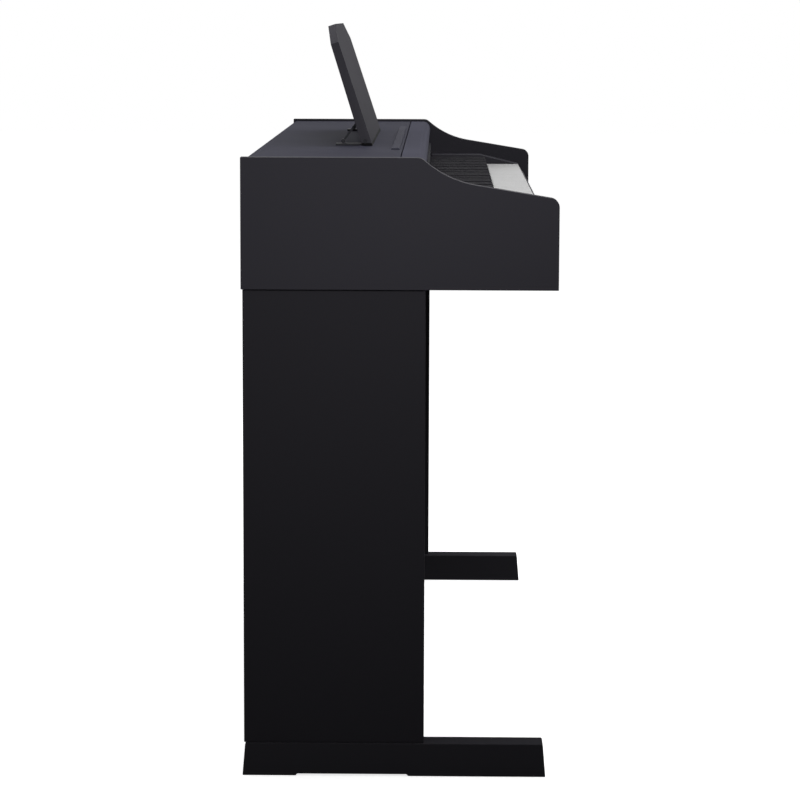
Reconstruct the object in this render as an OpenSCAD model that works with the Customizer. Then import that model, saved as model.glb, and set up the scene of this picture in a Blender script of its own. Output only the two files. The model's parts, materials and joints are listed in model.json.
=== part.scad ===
// Cabinet digital piano: 88 weighted keys, a sliding key cover, a folding music rest and a
// two-leg stand with three pedals. Millimetres. X runs across from the bass to the treble end,
// "depth" runs from the back plane (0) to the front, and Z is up from the floor.

/* [Case] */
// Overall width over the two side panels
case_w = 1378; // [1300:1:1500]
// Overall depth from the back plane to the front of the side panels
case_d = 410; // [400:1:450]
// Height of the side panels' lower edge above the floor
stand_h = 642; // [600:1:700]
// Height of the side panels at the back
case_h = 170; // [166:1:185]
// Thickness of the side panels
side_t = 20; // [15:1:24]
// Thickness of the top board
top_t = 12; // [9:0.5:14]
// How far the top board lies below the side panels' upper edges
top_recess = 3.5; // [2:0.1:5]
// How far the top board and the back board stand in from the back plane
back_inset = 8; // [2:0.5:9]
// Thickness of the back board
back_t = 12; // [6:0.5:13]
// Thickness of the keybed, the board that carries the keys
bed_t = 15; // [10:0.5:16]
// How far the keybed sits above the side panels' lower edge
bed_up = 4; // [0:0.5:8]
// Radius of the side panels' front upper corner
nose_r = 12; // [6:0.5:16]
// Radius where the side panels' edge turns down
shoulder_r = 13; // [8:0.5:18]
// Steepest slope of the side panels' edge, in degrees
shoulder_a = 41.5; // [32:0.5:45]
// Radius of the hollow sweep below the shoulder
sweep_r = 134; // [110:1:140]
// Slope of the side panels' edge beside the keys, in degrees
arm_a = 9.4; // [7:0.1:11]

/* [Keyboard] */
// Width of the cheek blocks at the ends of the keyboard
cheek_w = 53.4; // [40:0.1:60]
// Gap between neighbouring keys
key_gap = 1; // [0.8:0.05:1.2]
// Height of the white keys' tops above the keybed
key_rise = 77; // [76:0.5:79]
// Height of the white keys' front
key_h = 22; // [20:0.5:23]
// Visible length of a white key
white_len = 150; // [145:0.5:155]
// Visible length of a black key
black_len = 97; // [92:0.5:100]
// Height of a black key above the white keys
black_rise = 14; // [11:0.5:14.5]
// Width of a black key at the white keys' level
black_w = 11.4; // [10.8:0.1:12]
// Width of a black key at its top
black_top_w = 9.6; // [9:0.1:10.4]
// Distance from the side panels' front to the white keys' front
key_setback = 20; // [18:0.5:24]
// Distance from a key's front to its pivot
key_arm = 225; // [220:1:230]
// Travel of a key at its front
key_dip = 10; // [8:0.1:10.5]
// Radius of the rod that the keys turn on
key_rod_r = 3; // [2.5:0.1:3.5]
// Radius of the rod that the hammers turn on
hammer_rod_r = 2.5; // [2:0.1:3]
// Length of a hammer's weight at the bass end
weight_bass = 34; // [28:0.5:36]
// Length of a hammer's weight at the treble end
weight_treble = 20; // [14:0.5:24]
// Running clearance between a rod and its hole, per side
run_gap = 0.05; // [0.02:0.01:0.09]

/* [Key cover] */
// Thickness of the cover board
cover_t = 7.5; // [6:0.25:8]
// Depth of the moulded front edge of the cover
lip_d = 32.5; // [28:0.5:36]
// Height of the moulded front edge
lip_h = 22; // [20:0.5:22]
// How much shorter the cover's travel is than the control panel's depth
cover_short = 81; // [80:1:90]
// How far the cover tips down when it is closed, in degrees
cover_tip = 14; // [12:0.1:14.2]
// Number of teeth on each pinion
pinion_teeth = 18; // [16:1:20]
// Pitch of the gear teeth, as pitch radius times two over the teeth
gear_module = 1; // [0.9:0.01:1.02]
// Radius of the shaft between the pinions
cover_shaft_r = 4; // [3:0.1:4.2]

/* [Music rest] */
// Width of the music rest
rest_w = 562; // [480:1:620]
// Height of the music rest measured along its slope
rest_len = 177; // [160:0.5:190]
// Length of the rest's top edge
rest_top_w = 340; // [280:1:400]
// How far down its slope the cut corners reach
rest_cut = 26; // [15:0.5:35]
// Thickness of the rest at its foot
rest_foot_t = 14.2; // [12:0.1:16]
// Thickness of the rest at its top edge
rest_top_t = 10.9; // [8:0.1:12]
// Lean of the rest from upright, in degrees
rest_lean = 18.4; // [14:0.1:24]
// Distance from the front of the top board back to the rest
rest_back = 45; // [40:0.5:60]
// Width of the page stop along the top board
stop_w = 780; // [600:1:900]

/* [Stand] */
// Thickness of the legs
leg_t = 20; // [15:1:24]
// Depth of the legs
leg_d = 236.5; // [225:0.5:245]
// How far the legs stand in from the side panels' outer faces
leg_inset = 4; // [0:0.5:6]
// Height of the feet
foot_h = 43.7; // [35:0.1:50]
// Width of the feet
foot_w = 40; // [34:0.5:46]
// Length of the feet
foot_d = 398.7; // [380:0.1:400]
// Height of the relief under the middle of the feet
foot_relief = 2.5; // [1.5:0.1:4]
// How far the ends of the feet spread towards the floor
foot_draft = 3.5; // [0:0.1:5]
// Height of the stand's back board
brace_h = 386; // [300:1:400]
// Thickness of the stand's back board
brace_t = 12; // [8:0.5:16]

/* [Pedals] */
// Distance from one pedal to the next
pedal_pitch = 75; // [66:1:85]
// Width of a pedal at its neck
pedal_w = 20; // [16:0.5:24]
// Width of a pedal at its tip
pedal_tip_w = 28; // [22:0.5:32]
// Length of a pedal in front of the pedal board
pedal_out = 82; // [70:0.5:84]
// Turn of a pedal from rest to its stop, in degrees
pedal_turn = 6; // [4:0.1:7]
// Height of the pedal board
pedal_board_h = 96; // [88:1:120]
// Height of the pedal board's lower edge above the floor
pedal_board_up = 56; // [54:1:70]
// Radius of the pedals' hinge pin
pedal_pin_r = 3; // [2.5:0.1:3.5]

/* [Sockets and controls] */
// Radius of the hole of a headphone socket
phones_r = 3.3; // [3.2:0.05:3.5]
// Depth of the hole of a headphone socket
phones_len = 30; // [20:0.5:34]
// Radius of the hole of the power inlet
inlet_r = 2.9; // [2.8:0.05:3.2]
// Depth of the hole of the power inlet
inlet_len = 10; // [8:0.5:11]
// Room in front of and behind a speaker's flange
speaker_room = 15.5; // [10:0.5:20]
// Clearance around a button in its window, per side
button_gap = 0.3; // [0.2:0.05:0.5]
// Travel of a button
button_travel = 1.2; // [0.6:0.1:1.6]
// Travel of the volume slider to each side
slider_travel = 14; // [8:0.5:18]

/* [Hidden] */
NOTE = ["c", "cs", "d", "ds", "e", "f", "fs", "g", "gs", "a", "as", "b"];

// Shared clearances
slip_gap = 0.3;      // between boards that pass or stand beside each other
seat_gap = 0.5;      // between moving pieces and the pads that stop them
fine = 48;           // sides of the round bores and pins

// Colours
lacquer = [0.10, 0.10, 0.11];
lacquer_top = [0.14, 0.14, 0.16];
plastic = [0.08, 0.08, 0.09];
ivory = [0.92, 0.92, 0.90];
ebony = [0.07, 0.07, 0.08];
steel = [0.70, 0.71, 0.73];
brass = [0.80, 0.66, 0.36];
board_green = [0.10, 0.36, 0.22];

// Main planes of the cabinet
half_w = case_w / 2;
half_d = case_d / 2;
inner_x = half_w - side_t;
case_top = stand_h + case_h;
bed_z = stand_h + bed_up;
bed_top = bed_z + bed_t;
top_under = case_top - top_t;
top_face = case_top - top_recess;
back_front = back_inset + back_t;

// Keys
key_front = case_d - key_setback;
key_top = bed_top + key_rise;
key_bottom = key_top - key_h;
key_pivot_d = key_front - key_arm;
key_pivot_z = key_top - key_h / 2;
key_tail = 13;       // length of a key behind its pivot
white_count = 52;
cheek_gap = 2;
key_pitch = (inner_x - cheek_w - cheek_gap) * 2 / white_count;
keys_w = white_count * key_pitch;
black_front = key_front - white_len + black_len;
fascia_d = key_front - white_len;
tail_narrow_d = fascia_d - 8;
tail_relief = 1.5;   // how much narrower each side of a key is behind the control panel
black_cut = black_w + 2 * key_gap;
nib_arm = 160;
nib_d = key_pivot_d + nib_arm;
nib_w = 6;
nib_half = 1.5;
nib_drop = 25;
nib_z = key_bottom - nib_drop;
slip_drop = 11.5;
slip_top = key_top - slip_drop;
slip_inset = 9;
slip_t = 9.5;

// Hammers
hammer_reach = 120;
hammer_pivot_d = key_pivot_d + hammer_reach;
hammer_pivot_z = key_pivot_z + (nib_z - key_pivot_z) * hammer_reach / nib_arm;
hammer_w = 8;
hammer_hub_r = 5.5;
hammer_over = 7;
hammer_arm_front = nib_d + hammer_over;
hammer_arm_t = 6;
hammer_back = 100;
weight_h = 16;
weight_drop = 24;
weight_z = hammer_pivot_z - weight_drop;

// Key chassis
chassis_t = 3;
chassis_over = 14;
chassis_back = key_pivot_d - chassis_over;
chassis_short = 5;
chassis_front = key_front - chassis_short;
rib_t = 2.4;
rail_d = 22;
rail_top = key_bottom - key_dip - seat_gap;
sensor_up = 4;
sensor_z = bed_top + chassis_t + sensor_up;

// Key cover
cover_pivot_in = 12;
cover_pivot_d = back_front + cover_pivot_in;
cover_travel = fascia_d - cover_short;
pinion_r = gear_module * pinion_teeth / 2;
cover_top = top_under - 2;
cover_under = cover_top - cover_t;
cover_pivot_z = cover_under - cover_shaft_r - seat_gap;
top_front = fascia_d - 2 - lip_d - slip_gap;
lip_back = top_front + slip_gap;
lip_front = lip_back + lip_d;
lip_r = 12;
gear_x = inner_x - 11;
gear_w = 9;
shoe_x = inner_x - 17.5;
shoe_t = 5;
rack_line = cover_pivot_z - pinion_r;
rack_w = inner_x - shoe_x;
rack_back = back_front + 0.5;
rack_front = cover_pivot_d + cover_travel + 5;
ledge_z = rack_line + gear_module + 0.5;
lug_t = 10;
lug_half = 8;
lug_x = inner_x * 0.3;
glue_gap = 0.05;     // between a glued strip and its board
cover_side = 1.2;    // how far the cover stays from the side panels
cover_board_back = cover_pivot_d + 13;

// Music rest
rest_d = top_front - rest_back;
rest_hinge_r = 6;
rest_lift = 0.5;
rest_pin_r = 3;
rest_pin_z = top_face + rest_lift + rest_hinge_r;
rest_pin_d = rest_d - (rest_hinge_r * tan(rest_lean)) - (rest_foot_t - rest_hinge_r) / cos(rest_lean);
bracket_end = 25;     // from a bracket's middle to the end of the rest
pin_inset = 2;
bracket_x = rest_w / 2 - bracket_end;
bracket_w = 30;
bracket_t = 3;
bracket_d = 42;
ear_t = 2;
stay_u = 29;         // place of the stays' hinge up the rest's slope from the pin
stay_in = 3.154; // and how deep it lies behind the rest's back face
stay_len = 33.6;
stay_r = 2;
stay_foot_r = 3;
stay_w = 24;         // width of the pocket that a stay folds into

// Stand
leg_back = 2;
leg_out = half_w - leg_inset;
leg_in = leg_out - leg_t;
leg_front = leg_back + leg_d;
foot_edge = 1.5;
pad_back = 70;
pad_front = 218;
pedal_wall_front = leg_front - 4.5 - pedal_out - 2;
pedal_wall_t = 15;
pedal_shelf_t = 12;
pedal_shelf_back = pedal_wall_front - 90;
pedal_pin_d = pedal_shelf_back + 15;
pedal_z = pedal_board_up + 30;
pedal_t = 5;
pedal_tip_d = pedal_wall_front + pedal_out;
pedal_board_top = pedal_board_up + pedal_board_h;
adjuster_r = 5;
wheel_r = 18;
wheel_h = 12;

// Sockets
jack_x = inner_x - 369;
jack_w = 150;
jack_h = 56;
jack_z = bed_top + 50;
jack_t = 3;
phones_box_x = 169 - inner_x;
phones_box_w = 70;
phones_box_h = 21;
phones_box_back = key_front - 65;
phones_box_front = key_front - 5;
speaker_in = 189;
speaker_x = inner_x - speaker_in;
speaker_d = (back_front + chassis_back) / 2;
speaker_rim = 8;
speaker_r = (chassis_back - back_front) / 2 - speaker_room - speaker_rim;

// Solid between low and high planes across, in depth and in height
module slab(x0, x1, d0, d1, z0, z1)
    translate([x0, half_d - d1, z0]) cube([x1 - x0, d1 - d0, z1 - z0]);

// Outline of [depth, height] points, swept across from x0 to x1
module sweep_x(x0, x1, outline)
    translate([x0, half_d, 0]) rotate([90, 0, 90]) linear_extrude(x1 - x0)
        polygon([for (p = outline) [-p[0], p[1]]]);

// Outline of [across, height] points, swept in depth from d0 to d1
module sweep_d(d0, d1, outline)
    translate([0, half_d - d0, 0]) rotate([90, 0, 0]) linear_extrude(d1 - d0) polygon(outline);

// Outline of [across, depth] points, swept up from z0 to z1
module sweep_z(z0, z1, outline)
    translate([0, half_d, z0]) linear_extrude(z1 - z0) polygon([for (p = outline) [p[0], -p[1]]]);

// Round bars along the three directions
module bar_x(x0, x1, d, z, r) translate([x0, half_d - d, z]) rotate([0, 90, 0])
    cylinder(r = r, h = x1 - x0, $fn = fine);
module bar_d(x, d0, d1, z, r) translate([x, half_d - d0, z]) rotate([90, 0, 0])
    cylinder(r = r, h = d1 - d0, $fn = fine);
module bar_z(x, d, z0, z1, r) translate([x, half_d - d, z0]) cylinder(r = r, h = z1 - z0, $fn = fine);

// The same piece at both ends
module both_ends() {
    children();
    mirror([1, 0, 0]) children();
}

// Points of an arc of [depth, height], turning from angle a0 to a1 measured from straight up
function arc(c, r, a0, a1, n) =
    [for (i = [0:n]) let (a = a0 + (a1 - a0) * i / n) [c[0] + r * sin(a), c[1] + r * cos(a)]];

// Cabinet
shoulder_d = fascia_d - 12.5;
sweep_c = [shoulder_d + (shoulder_r + sweep_r) * sin(shoulder_a),
           case_top - shoulder_r + (shoulder_r + sweep_r) * cos(shoulder_a)];
arm_d = sweep_c[0] - sweep_r * sin(arm_a);
arm_z = sweep_c[1] - sweep_r * cos(arm_a);
nose_d = case_d - nose_r;
nose_z = arm_z - (nose_d + nose_r * sin(arm_a) - arm_d) * tan(arm_a) - nose_r * cos(arm_a);

module side_panel() {
    outline = concat(
        [[0, stand_h], [0, case_top]],
        arc([shoulder_d, case_top - shoulder_r], shoulder_r, 0, shoulder_a, 6),
        arc(sweep_c, sweep_r, 180 + shoulder_a, 180 + arm_a, 10),
        arc([nose_d, nose_z], nose_r, arm_a, 90, 8),
        [[case_d, stand_h]]);
    sweep_x(inner_x, half_w, outline);
}

module side_panel_left() color(lacquer) mirror([1, 0, 0]) side_panel();
module side_panel_right() color(lacquer) side_panel();

module top_board() color(lacquer_top) slab(-inner_x, inner_x, back_inset, top_front, top_under, top_face);

module back_board() color(lacquer) difference() {
    slab(-inner_x, inner_x, back_inset, back_front, bed_z, top_under);
    slab(jack_x - jack_w / 2, jack_x + jack_w / 2, back_inset - 1, back_front + 1,
        jack_z - jack_h / 2, jack_z + jack_h / 2);
}

module keybed() color(lacquer) difference() {
    slab(-inner_x, inner_x, back_front, case_d - slip_inset, bed_z, bed_top);
    both_ends() bar_z(speaker_x, speaker_d, bed_z - 1, bed_top + 1, speaker_r);
}

// The slip's front edge leans back in two steps
slip_front = case_d - slip_inset;
slip_edge = [4.5, 0.5];
slip_edge_h = [4.5, 7.5];

module key_slip() color(lacquer)
    sweep_x(-inner_x, inner_x, [
        [slip_front - slip_t, bed_top], [slip_front - slip_t, slip_top],
        [slip_front - slip_edge[0], slip_top], [slip_front - slip_edge[1], slip_top - slip_edge_h[0]],
        [slip_front, slip_top - slip_edge_h[1]], [slip_front, bed_top]]);

// Windows in the control panel, as [across, half width, half height]
power_window = [69 - inner_x, 6, 4];
function_window = [104 - inner_x, 6, 4];
slider_window = [169 - inner_x, slider_travel + 4, 2];
panel_foot = key_top + black_rise + 3;
window_z = panel_foot + 8;
panel_top = panel_foot + 16.5;
panel_t = 4;
// The panel's hood over the buttons: its depth, and the rise at its front and at its back
hood_d = 25;
hood_rise = [1, 3];

module window(w, gap)
    slab(w[0] - w[1] - gap, w[0] + w[1] + gap, fascia_d - panel_t - 1, fascia_d + 1,
        window_z - w[2] - gap, window_z + w[2] + gap);

module control_panel() color(plastic) difference() {
    sweep_x(-inner_x, inner_x, [
        [fascia_d, panel_foot], [fascia_d, panel_top], [fascia_d - panel_t, panel_top + hood_rise[0]],
        [fascia_d - hood_d, panel_top + hood_rise[1]], [fascia_d - hood_d, panel_top],
        [fascia_d - panel_t, panel_top - 2], [fascia_d - panel_t, panel_foot]]);
    window(power_window, button_gap);
    window(function_window, button_gap);
    window(slider_window, 0);
}

// The cheeks fall away towards the front, clear of the closed cover's edge
cheek_front = key_front + 1;
cheek_top = key_top + black_rise + 1.5;

module cheek_blocks() color(plastic) both_ends()
    sweep_x(keys_w / 2 + cheek_gap, inner_x, [
        [fascia_d + slip_gap, bed_top], [fascia_d + slip_gap, cheek_top], [black_front - 12, cheek_top],
        [cheek_front, key_top - 0.5], [cheek_front, bed_top]]);

// The page stop is a low bar with a rounded back, its section given from its own front edge
stop_front = top_front - 5;
stop_section = [[12, 0], [11, 2.2], [2, 2.6], [0, 1.4], [0, 0]];

module page_stop() color(plastic)
    sweep_x(-stop_w / 2, stop_w / 2, [for (p = stop_section) [stop_front - p[0], top_face + p[1]]]);

// Angle irons that hold the cabinet on the stand, each with two screws, and the back board's screws
iron_t = 2.5;
iron_w = 36;
iron_h = 44;
iron_reach = 40;
screw_r = 6;
small_screw_r = 4.5;
screw_head = 3.5;
back_screw_head = 3;

module angle_iron(d) {
    slab(leg_in - iron_t, leg_in, d - iron_w / 2, d + iron_w / 2, bed_z - iron_h, bed_z);
    slab(leg_in - iron_reach, leg_in - iron_t, d - iron_w / 2, d + iron_w / 2, bed_z - iron_t, bed_z);
    bar_z(leg_in - 24, d, bed_z - iron_t - screw_head, bed_z - iron_t, screw_r);
    bar_x(leg_in - iron_t - screw_head, leg_in - iron_t, d, bed_z - 26, screw_r);
}

module fasteners() color(steel) both_ends() {
    angle_iron(60);
    angle_iron(leg_front - 40);
    for (z = [stand_h - brace_h + 40, stand_h - 46])
        bar_d(leg_in - 30, 11, 14, z, screw_r);
    for (at = [[inner_x - 20, bed_z + 30], [inner_x - 20, top_under - 24], [120, bed_z + 30]])
        bar_d(at[0], back_inset - back_screw_head, back_inset, at[1], small_screw_r);
}

// Music rest, drawn in its own slope: u up the slope and v through it, both from the hinge pin
rest_front_v = rest_foot_t - rest_hinge_r;
rest_top_u = rest_len - rest_hinge_r;
rest_taper = (rest_foot_t - rest_top_t) / rest_top_u;
stay_v = rest_hinge_r - rest_taper * stay_u - stay_in;
stay_pin_d = rest_pin_d - stay_u * sin(rest_lean) - stay_v * cos(rest_lean);
stay_pin_z = rest_pin_z + stay_u * cos(rest_lean) - stay_v * sin(rest_lean);
stay_foot_z = top_face + bracket_t + slip_gap + stay_foot_r;
stay_a = asin((stay_pin_z - stay_foot_z) / stay_len);

module on_rest() translate([0, half_d - rest_pin_d, rest_pin_z]) rotate([-rest_lean, 0, 0]) children();

module across(w, v, u, r) translate([-w / 2, v, u]) rotate([0, 90, 0]) cylinder(r = r, h = w, $fn = fine);

module rest_profile()
    rotate([90, 0, 90]) linear_extrude(rest_w, center = true)
        polygon([
            [rest_hinge_r, 0], [rest_hinge_r - rest_taper * rest_top_u, rest_top_u],
            [-rest_front_v, rest_top_u],
            [-rest_front_v, -(rest_hinge_r + rest_front_v * sin(rest_lean)) / cos(rest_lean)],
            for (i = [8:-1:1]) let (t = (90 - rest_lean) * i / 8)
                [rest_hinge_r * cos(t), -rest_hinge_r * sin(t)]]);

// What is cut off above the sloping shoulder at one end
module rest_shoulder()
    translate([rest_w / 2, 0, rest_top_u]) rotate([90, 0, 0]) linear_extrude(4 * rest_foot_t, center = true)
        polygon([
            [1, 1], [-(rest_w - rest_top_w) / 2, 1], [-(rest_w - rest_top_w) / 2, 0],
            [0, -rest_cut], [1, -rest_cut]]);

// Pockets in the rest's back for the bracket's ears, for its plate when folded, and for the stay
ear_pocket_in = rest_hinge_r + 0.6;
ear_pocket_up = rest_hinge_r + 2.5;
plate_pocket_v = 2.5;
stay_pocket_end = 5.5;
stay_pin_over = 10;

module music_rest() color(plastic) on_rest() difference() {
    rest_profile();
    across(rest_w + 2, 0, 0, rest_pin_r + run_gap);
    both_ends() {
        rest_shoulder();
        translate([bracket_x - bracket_w / 2 - slip_gap, -ear_pocket_in, -2 * rest_hinge_r])
            cube([bracket_w + 2 * slip_gap, 4 * rest_hinge_r, 2 * rest_hinge_r + ear_pocket_up]);
        translate([bracket_x - bracket_w / 2 - slip_gap, plate_pocket_v, 0])
            cube([bracket_w + 2 * slip_gap, 2 * rest_hinge_r, bracket_d]);
        translate([bracket_x - stay_w / 2, stay_v - stay_foot_r - slip_gap, stay_u - stay_pocket_end])
            cube([stay_w, 2 * rest_hinge_r, stay_len + 2 * stay_pocket_end]);
        translate([bracket_x, 0, 0]) across(stay_w + stay_pin_over, stay_v, stay_u, stay_r + run_gap);
    }
}

// The bracket's ears reach round the pin, and its plate ends just before it
ear_half = 4.5;
ear_over = 4.2;
plate_front = 5;

module rest_brackets() color(steel) both_ends() {
    slab(bracket_x - bracket_w / 2, bracket_x + bracket_w / 2,
        rest_pin_d - bracket_d, rest_pin_d + plate_front, top_face, top_face + bracket_t);
    bar_x(bracket_x - bracket_w / 2 - bracket_end, rest_w / 2 - pin_inset,
        rest_pin_d, rest_pin_z, rest_pin_r);
    for (x = [bracket_x - bracket_w / 2, bracket_x + bracket_w / 2 - ear_t])
        slab(x, x + ear_t, rest_pin_d - ear_half, rest_pin_d + ear_half,
            top_face + bracket_t, rest_pin_z + ear_over);
}

// Each stay hangs on its cross pin in the rest and stands on the bracket's plate
stay_strip_w = 10;
stay_strip_t = 3;

module rest_stays() color(steel) both_ends() translate([bracket_x, half_d - stay_pin_d, stay_pin_z]) {
    across(stay_w + 8, 0, 0, stay_r);
    rotate([-stay_a, 0, 0]) {
        translate([-stay_strip_w / 2, 0, -stay_strip_t / 2]) cube([stay_strip_w, stay_len, stay_strip_t]);
        translate([0, stay_len, 0]) across(stay_w - 4, 0, 0, stay_foot_r);
    }
}

// Key cover with its shaft, pinions, racks and shoes
// A board with its front moulding, the narrow strip at its back and the lugs that the shaft runs in
lug_under = 6.5;

module key_cover() color(lacquer_top) {
    slab(-inner_x + cover_side, inner_x - cover_side, cover_board_back, lip_back - glue_gap,
        cover_under, cover_top);
    slab(-shoe_x + slip_gap, shoe_x - slip_gap, cover_pivot_d - 5, cover_board_back - glue_gap,
        cover_under, cover_top);
    sweep_x(-inner_x + cover_side, inner_x - cover_side, concat(
        [[lip_back, case_top - lip_h], [lip_back, top_face]],
        arc([lip_front - lip_r, top_face - lip_r], lip_r, 0, 90, 8),
        [[lip_front, case_top - lip_h + 2], [lip_front - 2, case_top - lip_h]]));
    for (x = [-shoe_x + 1, -lug_x, lug_x - lug_t, shoe_x - 1 - lug_t]) difference() {
        slab(x, x + lug_t, cover_pivot_d - lug_half, cover_board_back - glue_gap - 1,
            cover_pivot_z - lug_under, cover_under - glue_gap);
        bar_x(x - 1, x + lug_t + 1, cover_pivot_d, cover_pivot_z, cover_shaft_r + run_gap);
    }
}

// Flank of a gear tooth: half its width at a height above or below the pitch line
tooth_thin = 0.19;
function tooth_half(h) = PI * gear_module * tooth_thin - h * tan(20);
function on_circle(r, a) = [r * sin(a), -r * cos(a)];
tip_h = gear_module;
root_h = 1.25 * gear_module;

function pinion_points() =
    [for (i = [0:pinion_teeth - 1],
        q = [[-1, -root_h], [-1, 0], [-1, tip_h], [1, tip_h], [1, 0], [1, -root_h]])
    let (r = pinion_r + q[1], half = q[1] < 0 ? tooth_half(-root_h * 0.6) : tooth_half(q[1]))
    on_circle(r, i * 360 / pinion_teeth + q[0] * atan(half / r))];

module cover_shaft() color(steel) translate([0, half_d - cover_pivot_d, cover_pivot_z]) {
    across(2 * (gear_x + gear_w), 0, 0, cover_shaft_r);
    both_ends() translate([gear_x, 0, 0]) rotate([90, 0, 90]) linear_extrude(gear_w) polygon(pinion_points());
}

rack_pitch = PI * gear_module;
rack_first = ceil((rack_back - cover_pivot_d) / rack_pitch + 1);
rack_last = floor((rack_front - cover_pivot_d) / rack_pitch - 1);

rack_h = 6;

module cover_racks() color(plastic) both_ends() {
    root_z = rack_line - root_h;
    teeth = [for (k = [rack_first:rack_last], q = [[-1, -root_h], [-1, tip_h], [1, tip_h], [1, -root_h]])
        [cover_pivot_d + (k + 0.5) * rack_pitch + q[0] * tooth_half(q[1]), rack_line + q[1]]];
    sweep_x(gear_x - 1, inner_x,
        concat([[rack_back, root_z - rack_h], [rack_back, root_z]], teeth,
            [[rack_front, root_z], [rack_front, root_z - rack_h]]));
    slab(shoe_x, gear_x - 1, rack_back, rack_front, root_z - 6, ledge_z);
}

shoe_half = 10;
shoe_over = 2.5;

module cover_shoes() color(plastic) both_ends() difference() {
    slab(shoe_x, shoe_x + shoe_t, cover_pivot_d - shoe_half, cover_pivot_d + shoe_half,
        ledge_z + slip_gap, cover_under + shoe_over);
    bar_x(shoe_x - 1, shoe_x + shoe_t + 1, cover_pivot_d, cover_pivot_z, cover_shaft_r + run_gap);
}

// Stand
module leg() slab(leg_in, leg_out, leg_back, leg_front, foot_h, stand_h);
module leg_left() color(lacquer) mirror([1, 0, 0]) leg();
module leg_right() color(lacquer) leg();

module foot()
    sweep_x(half_w - foot_w, half_w, [
        [0, 0], [foot_draft, foot_h - foot_edge], [foot_draft + foot_edge, foot_h],
        [foot_d - foot_draft - foot_edge, foot_h],
        [foot_d - foot_draft, foot_h - foot_edge], [foot_d, 0], [pad_front, 0], [pad_front - 2, foot_relief],
        [pad_back + 2, foot_relief], [pad_back, 0]]);
module foot_left() color(lacquer) mirror([1, 0, 0]) foot();
module foot_right() color(lacquer) foot();

brace_back = 14;
module stand_back_board() color(lacquer)
    slab(-leg_in, leg_in, brace_back, brace_back + brace_t, stand_h - brace_h, stand_h - 6);

// Pedals
cradle_side = 50;
cradle_w = 2 * (pedal_pitch + cradle_side);

cradle_t = 10;
slot_gap = 2;

module cradle_plate(x)
    slab(x, x + cradle_t, pedal_shelf_back, pedal_wall_front - 1, pedal_board_up, pedal_board_top - 1);

module pedal_board() color(lacquer) {
    difference() {
        union() {
            sweep_x(-leg_in, leg_in, [
                [pedal_wall_front, pedal_board_up], [pedal_wall_front, pedal_board_top],
                [pedal_shelf_back, pedal_board_top],
                [pedal_shelf_back, pedal_board_top - pedal_shelf_t],
                [pedal_wall_front - pedal_wall_t, pedal_board_top - pedal_shelf_t],
                [pedal_wall_front - pedal_wall_t, pedal_board_up]]);
            slab(-cradle_w / 2, cradle_w / 2, pedal_shelf_back, pedal_wall_front - 1,
                pedal_board_up, pedal_board_up + cradle_t);
            both_ends() {
                cradle_plate(cradle_w / 2 - cradle_t);
                cradle_plate(pedal_pitch / 2 - cradle_t / 2);
            }
        }
        for (k = [-1:1])
            slab(k * pedal_pitch - pedal_w / 2 - slot_gap, k * pedal_pitch + pedal_w / 2 + slot_gap,
                pedal_wall_front - pedal_wall_t - 1, pedal_wall_front + 1, pedal_z - 14, pedal_z + 6);
        bar_z(0, adjuster_d, pedal_board_up - 1, pedal_board_up + cradle_t + 1, adjuster_r + run_gap);
    }
    bar_x(-cradle_w / 2, cradle_w / 2, pedal_pin_d, pedal_z, pedal_pin_r);
}

adjuster_d = pedal_pin_d + 35;
neck_end = pedal_tip_d - 52;
pedal_round = pedal_tip_w / 2;

// Half outline of a pedal seen from above, from its hinge to its round tip
pedal_half = concat(
    [[pedal_w / 2, pedal_pin_d], [pedal_w / 2, neck_end], [pedal_tip_w / 2 - 1, neck_end + 20]],
    [for (i = [0:8]) let (a = i * 90 / 8)
        [pedal_round * cos(a), pedal_tip_d - pedal_round + pedal_round * sin(a)]]);

module pedal(k) color(brass) translate([k * pedal_pitch, 0, 0]) difference() {
    union() {
        sweep_z(pedal_z - pedal_t / 2, pedal_z + pedal_t / 2,
            concat(pedal_half, [for (i = [len(pedal_half) - 2:-1:0]) [-pedal_half[i][0], pedal_half[i][1]]]));
        bar_x(-pedal_w / 2, pedal_w / 2, pedal_pin_d, pedal_z, pedal_pin_r + 5);
    }
    bar_x(-pedal_w, pedal_w, pedal_pin_d, pedal_z, pedal_pin_r + run_gap);
}
module pedal_left() pedal(-1);
module pedal_middle() pedal(0);
module pedal_right() pedal(1);

module pedal_adjuster() color(plastic) {
    bar_z(0, adjuster_d, 1, 1 + wheel_h, wheel_r);
    bar_z(0, adjuster_d, wheel_h, pedal_board_up + cradle_t + 4, adjuster_r);
}

// Keys. White keys are numbered from 0 at the bass end, and each octave starts at its C
has_black = [0, 1, 1, 0, 1, 1, 1, 0];
small_shift = key_pitch * 0.089;
big_shift = key_pitch * 0.1315;
black_shift = [0, -small_shift, small_shift, 0, -big_shift, 0, big_shift, 0];
natural = [0, -1, 1, -1, 2, 3, -1, 4, -1, 5, -1, 6];
sharp_after = [-1, 1, -1, 2, -1, -1, 4, -1, 5, -1, 6, -1];
function octave_start(o) = 7 * o - 5;
function white_x(w) = -keys_w / 2 + key_pitch * w;
function cut_left(w, i) = w > 0 && has_black[i] == 1 ? black_shift[i] + black_cut / 2 : key_gap / 2;
function cut_right(w, i) = w < white_count - 1 && has_black[i + 1] == 1
    ? black_cut / 2 - black_shift[i + 1] : key_gap / 2;
function octaves(k) = natural[k] >= 0
    ? [for (o = [0:8]) let (w = octave_start(o) + natural[k]) if (w >= 0 && w < white_count) o]
    : [for (o = [0:8]) let (w = octave_start(o) + sharp_after[k]) if (w >= 1 && w < white_count) o];

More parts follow.
